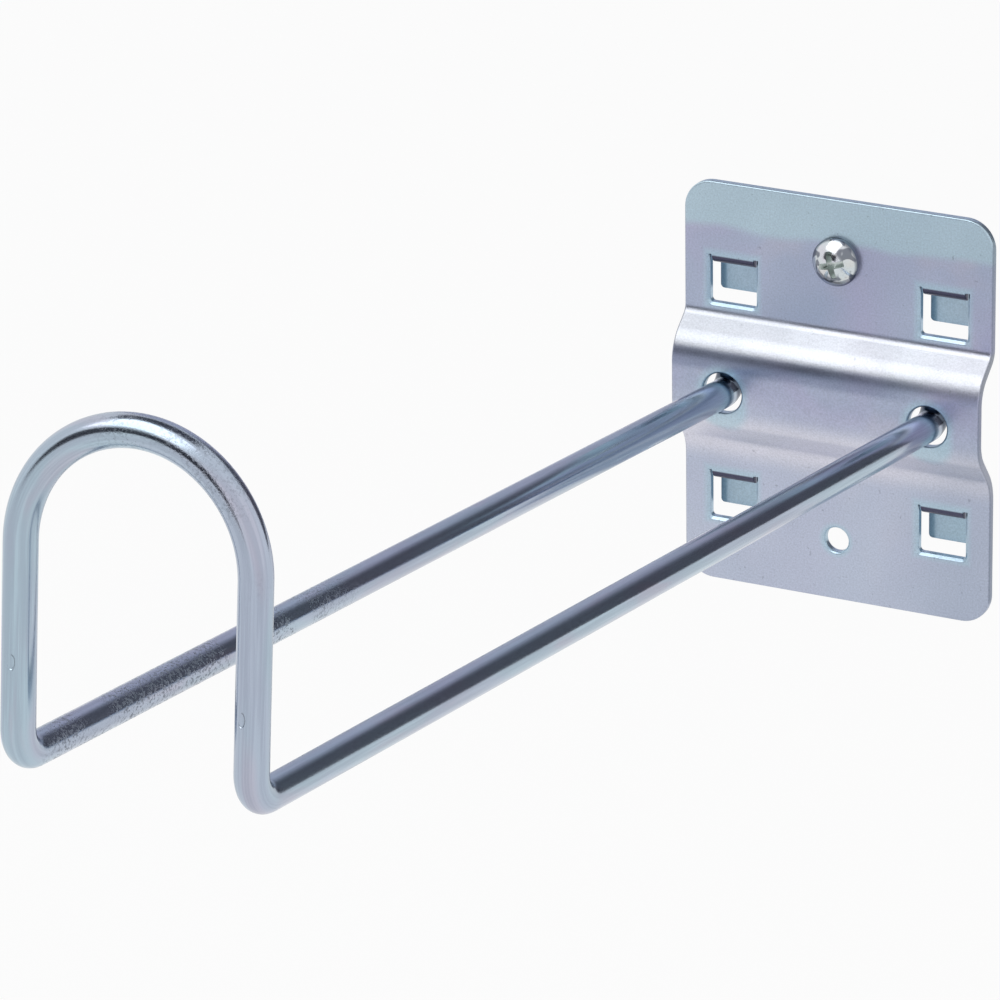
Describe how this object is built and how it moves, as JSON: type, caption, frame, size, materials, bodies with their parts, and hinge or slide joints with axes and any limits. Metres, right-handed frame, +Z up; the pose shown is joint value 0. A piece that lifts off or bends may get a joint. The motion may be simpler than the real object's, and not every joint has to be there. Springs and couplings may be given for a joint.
{
  "type": "cable holder",
  "caption": "Cable holder for a perforated tool panel: a pressed hook plate carries a bent round-wire bracket with an upright arch at its front end.",
  "frame": {"origin": "on the face of the panel that the plate lies against, midway between the four tongues", "axes": "+X to the right as seen from the room, +Y into the panel, +Z up; the bracket stands out along -Y"},
  "size_m": [0.0554, 0.2424, 0.1091],
  "materials": {
    "zinc_plated_sheet": "satin blue-passivated zinc plating on pressed steel sheet",
    "zinc_plated_wire": "shiny blue-passivated zinc plating on drawn steel wire",
    "bright_zinc_screw": "bright zinc plating"
  },
  "bodies": {
    "root": {"back_plate": "zinc_plated_sheet", "wire_bracket": "zinc_plated_wire", "locking_screw": "bright_zinc_screw"}
  },
  "joints": []
}
